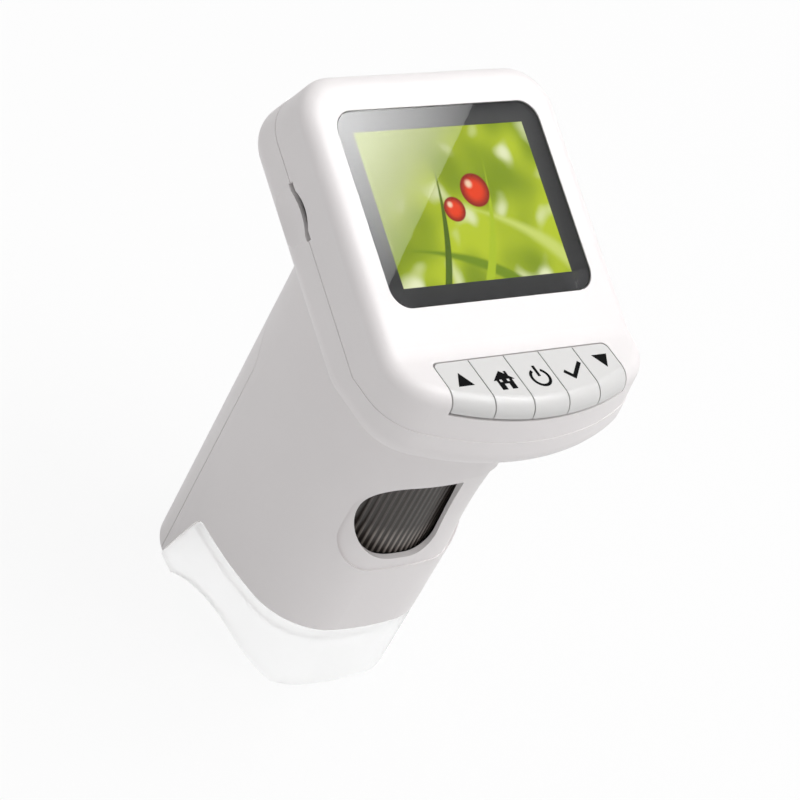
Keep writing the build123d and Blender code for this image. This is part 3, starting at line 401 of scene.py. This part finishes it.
# %% Give every solid its finish
finishes = {
    white_abs: ["head_front_shell", "head_rear_shell", "body_shell", "back_cover"],
    key_abs_painted_shade: ["up_key", "home_key", "power_key", "ok_key", "down_key"],
    lens_pmma: ["screen_lens"],
    print_black: ["screen_mask"],
    display_picture: ["lcd_panel"],
    tray_aluminium: ["lcd_tray"],
    foam: ["lcd_pad"],
    board_mask: ["main_board", "key_board", "sensor_board", "led_board"],
    chip_resin: ["main_chips", "image_sensor"],
    plated_steel: ["card_socket", "usb_socket"],
    zinc_steel: ["shell_screws", "board_screws", "flange_screws", "frame_screws"],
    cover_tpe: ["port_cover"],
    switch_abs: ["tact_switches"],
    cap_pc: ["base_cap"],
    diffuser: ["diffuser_plate", "leds"],
    black_abs: ["wheel_frame"],
    wheel_abs: ["focus_wheel"],
    barrel_pc: ["lens_barrel"],
    optical_glass: ["objective_lens", "rear_lens"],
    film: ["sensor_cable"],
    foil: ["battery"],
}
for material, names in finishes.items():
    for name in names:
        nodes[name].data.materials.clear()
        nodes[name].data.materials.append(material)
print("finished", sum(len(names) for names in finishes.values()), "solids of", len(nodes))

# %% [markdown]
# ## Printed key symbols
# The symbols are pad-printed on the level tops of the keys. An image could carry them, but each is
# made as a flat outline a few hundredths of a millimetre thick, from a few edges or a spun one, so it
# has a clean edge in any view and moves with its key.

# %% Symbol helpers
KEY_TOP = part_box("power_key")[1].z
INK_THICK = 0.03  # mm


def loop(outline, points):
    """Closed chain of edges through points."""
    verts = [outline.verts.new((px, py, 0)) for px, py in points]
    for start, end in zip(verts, verts[1:] + verts[:1]):
        outline.edges.new((start, end))


def printed(name, key, x, y, draw):
    """Makes one symbol from closed outlines in mm about (x, y), as thick as the ink."""
    outline = bmesh.new()
    draw(outline)
    loose = [edge for edge in outline.edges if edge.is_wire]
    bmesh.ops.triangle_fill(outline, edges=loose, use_beauty=True)
    top = bmesh.ops.extrude_face_region(outline, geom=outline.faces[:])
    raised = [v for v in top["geom"] if isinstance(v, bmesh.types.BMVert)]
    bmesh.ops.translate(outline, verts=raised, vec=(0, 0, INK_THICK))
    bmesh.ops.recalc_face_normals(outline, faces=outline.faces[:])
    bmesh.ops.scale(outline, verts=outline.verts[:], vec=(MM, MM, MM))
    bmesh.ops.translate(outline, verts=outline.verts[:], vec=(x * MM, y * MM, KEY_TOP))
    mesh = bpy.data.meshes.new(name)
    outline.to_mesh(mesh)
    outline.free()
    symbol = bpy.data.objects.new(name, mesh)
    scene.collection.objects.link(symbol)
    mesh.materials.append(mark_black)
    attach(symbol, key)


# %% Arrows and tick
def arrow(direction):
    """Triangle that points up the screen for 1 and down for -1."""
    foot, tip = -1.5 * direction, 1.75 * direction
    return lambda outline: loop(outline, [(-1.85, foot), (1.85, foot), (0, tip)])


def tick(outline):
    """Tick for the key that confirms."""
    loop(outline, [(-2.7, -0.1), (-2.1, 0.5), (-0.8, -0.8), (2.2, 2.2), (2.8, 1.6), (-0.8, -2.0)])


# %% House
def house(outline):
    """House with a chimney, a door, and an open window on each side of it."""
    roof = [(-2.5, 0.15), (0, 2.4), (2.5, 0.15)]
    chimney = [(1.0, 1.5), (1.0, 2.2), (1.55, 2.2), (1.55, 1.0)]
    right = [(1.8, 0.15), (1.8, -2.2), (0.55, -2.2), (0.55, -0.8)]
    left = [(-x, y) for x, y in reversed(right)]
    loop(outline, roof[:2] + chimney + roof[2:] + right + left)
    for side in (-1, 1):
        near, far = 0.55 * side, 1.15 * side
        loop(outline, [(near, -0.3), (far, -0.3), (far, 0.3), (near, 0.3)])


# %% Power sign
def power(outline):
    """Ring that is open at its top, spun from one short edge, with a bar in the gap."""
    gap = radians(30)  # each side of the top
    start = Vector((-sin(gap), cos(gap), 0))
    rim = [outline.verts.new(start * radius) for radius in (1.67, 2.3)]
    section = [*rim, outline.edges.new(rim)]
    turn = {"axis": (0, 0, 1), "cent": (0, 0, 0), "angle": 2 * (pi - gap), "steps": 28}
    bmesh.ops.spin(outline, geom=section, **turn)
    loop(outline, [(-0.32, 0.3), (0.32, 0.3), (0.32, 2.95), (-0.32, 2.95)])


# %% Print the symbols on their keys
printed("up_symbol", "up_key", -16.8, -26.95, arrow(1))
printed("home_symbol", "home_key", -7.8, -28.3, house)
printed("power_symbol", "power_key", 0.6, -28.65, power)
printed("confirm_symbol", "ok_key", 9.2, -28.1, tick)
printed("down_symbol", "down_key", 17.5, -26.5, arrow(-1))
print("symbols on", KEY_TOP)

# %% [markdown]
# ## Floor and world
# A white floor and a white world make the plain studio. Both have two jobs, so each mixes two
# shaders: the camera, gloss and glass see a clean white, while the light that falls on the object is
# softer than that. The floor keeps part of its own shading, and with it the object's faint shadow.
# From below the floor is clear, so that the underside can be looked at.

# %% What the camera, gloss and glass see
FLOOR_CLEAN = 0.9  # share of plain white in the floor that is seen
WORLD_FILL = 0.57  # strength of the world's light on the object
WHITE = linear("#FFFFFF")


def seen_directly(tree, share):
    """A share for rays from the camera, from gloss and through glass, and 0 for all other light."""
    path = node(tree, "LightPath")
    rays = {0: path["Is Glossy Ray"], 1: path["Is Transmission Ray"]}
    gloss = node(tree, "Math", rays, operation="MAXIMUM")[0]
    seen = node(tree, "Math", {0: path["Is Camera Ray"], 1: gloss}, operation="MAXIMUM")[0]
    return node(tree, "Math", {0: seen, 1: share}, operation="MULTIPLY")[0]


# %% Floor material
floor_material, tree = new_material("white_paper_floor")
paper = node(tree, "BsdfDiffuse", {"Color": linear("#E6E6E6")})[0]
clean = node(tree, "Emission", {"Color": WHITE, "Strength": 1.0})[0]
above = node(tree, "MixShader", {0: seen_directly(tree, FLOOR_CLEAN), 1: paper, 2: clean})[0]
from_below = node(tree, "NewGeometry")["Backfacing"]
below = node(tree, "BsdfTransparent")[0]
one_sided = node(tree, "MixShader", {0: from_below, 1: above, 2: below})[0]
node(tree, "OutputMaterial", {"Surface": one_sided})
print("floor", floor_material.name)

# %% Floor
FLOOR_HALF = 3.0  # metres from its middle to a side
FLOOR_DROP = 0.0002  # metres below the object's foot, so that the two faces don't fight

sheet = bmesh.new()
bmesh.ops.create_grid(sheet, x_segments=1, y_segments=1, size=FLOOR_HALF)
bmesh.ops.translate(sheet, verts=sheet.verts[:], vec=(0, 0, -FLOOR_DROP))
floor_data = bpy.data.meshes.new("studio_floor")
sheet.to_mesh(floor_data)
sheet.free()
floor = bpy.data.objects.new("studio_floor", floor_data)
scene.collection.objects.link(floor)
floor_data.materials.append(floor_material)
print("floor side", 2 * FLOOR_HALF)

# %% World
world = bpy.data.worlds.new("studio")
scene.world = world
world.use_nodes = True
tree = world.node_tree
tree.nodes.clear()
fill = node(tree, "Background", {"Color": WHITE, "Strength": WORLD_FILL})[0]
white = node(tree, "Background", {"Color": WHITE, "Strength": 1.0})[0]
mix = node(tree, "MixShader", {0: seen_directly(tree, 1.0), 1: fill, 2: white})[0]
node(tree, "OutputWorld", {"Surface": mix})
print("world fill", WORLD_FILL)

# %% [markdown]
# ## Lamps
# One large softbox stands in front and above, on the side of somebody who looks at the screen. It
# makes the screen face the brightest, and leaves the left side a grey darker. A small strip lamp
# stands where the front lens mirrors it to the camera, so a pale veil with one sharp edge lies
# across the upper left of the glass, as on any glossy display. Its place comes from the law of
# reflection, not from trying: the camera's line of sight is mirrored in the plane of the screen.

# %% Softbox in front
SOFTBOX_PLACE, SOFTBOX_AIM = Vector((0.36, -0.3, 1.15)), Vector((0, 0, 0.08))

softbox_data = bpy.data.lights.new("softbox", "AREA")
softbox_data.size = 0.7
softbox_data.energy = 6.9
softbox = bpy.data.objects.new("softbox", softbox_data)
softbox.location = SOFTBOX_PLACE
softbox.rotation_mode = "QUATERNION"
softbox.rotation_quaternion = (SOFTBOX_AIM - SOFTBOX_PLACE).to_track_quat("-Z", "Y")
scene.collection.objects.link(softbox)
print("softbox", softbox_data.energy, "W at", tuple(softbox.location))

# %% Where the lens mirrors the strip lamp
STRIP = (0.06, 0.2)  # metres
STRIP_AWAY = 0.6  # metres from the screen
STRIP_ASIDE = 0.0124  # metres from the mirrored line of sight to the strip's sharp edge

screen_centre = Vector(SCREEN_CENTRE) * MM
mirrored = (screen_centre - camera.location).normalized().reflect(Vector(SCREEN_NORMAL))
edge_line = Vector((-0.379, -0.886, 0.266))  # the way that the sharp edge runs over the lens
strip_side = edge_line.cross(mirrored).normalized()
edge_line = mirrored.cross(strip_side)
print("mirrored line of sight", tuple(mirrored))

# %% Strip lamp
DIM, BRIGHT = 3.5, 31.0  # strength at its two long sides, where 1 is white

strip_data = bpy.data.lights.new("strip_lamp", "AREA")
strip_data.shape = "RECTANGLE"
strip_data.size, strip_data.size_y = STRIP
strip_data.energy = pi * STRIP[0] * STRIP[1]  # watts that make a strength of 1 white
strip_data.use_nodes = True
tree = strip_data.node_tree
tree.nodes.clear()
across = node(tree, "SeparateXYZ", {"Vector": node(tree, "NewGeometry")["Parametric"]})["X"]
strength = node(tree, "MapRange", {"Value": across, "To Min": DIM, "To Max": BRIGHT})["Result"]
node(tree, "OutputLight", {"Surface": node(tree, "Emission", {"Strength": strength})[0]})
strip = bpy.data.objects.new("strip_lamp", strip_data)
strip.matrix_world = Matrix((strip_side, edge_line, mirrored)).transposed().to_4x4()
strip.location = screen_centre + mirrored * STRIP_AWAY + strip_side * (STRIP_ASIDE + STRIP[0] / 2)
scene.collection.objects.link(strip)
print("strip lamp at", tuple(strip.location))
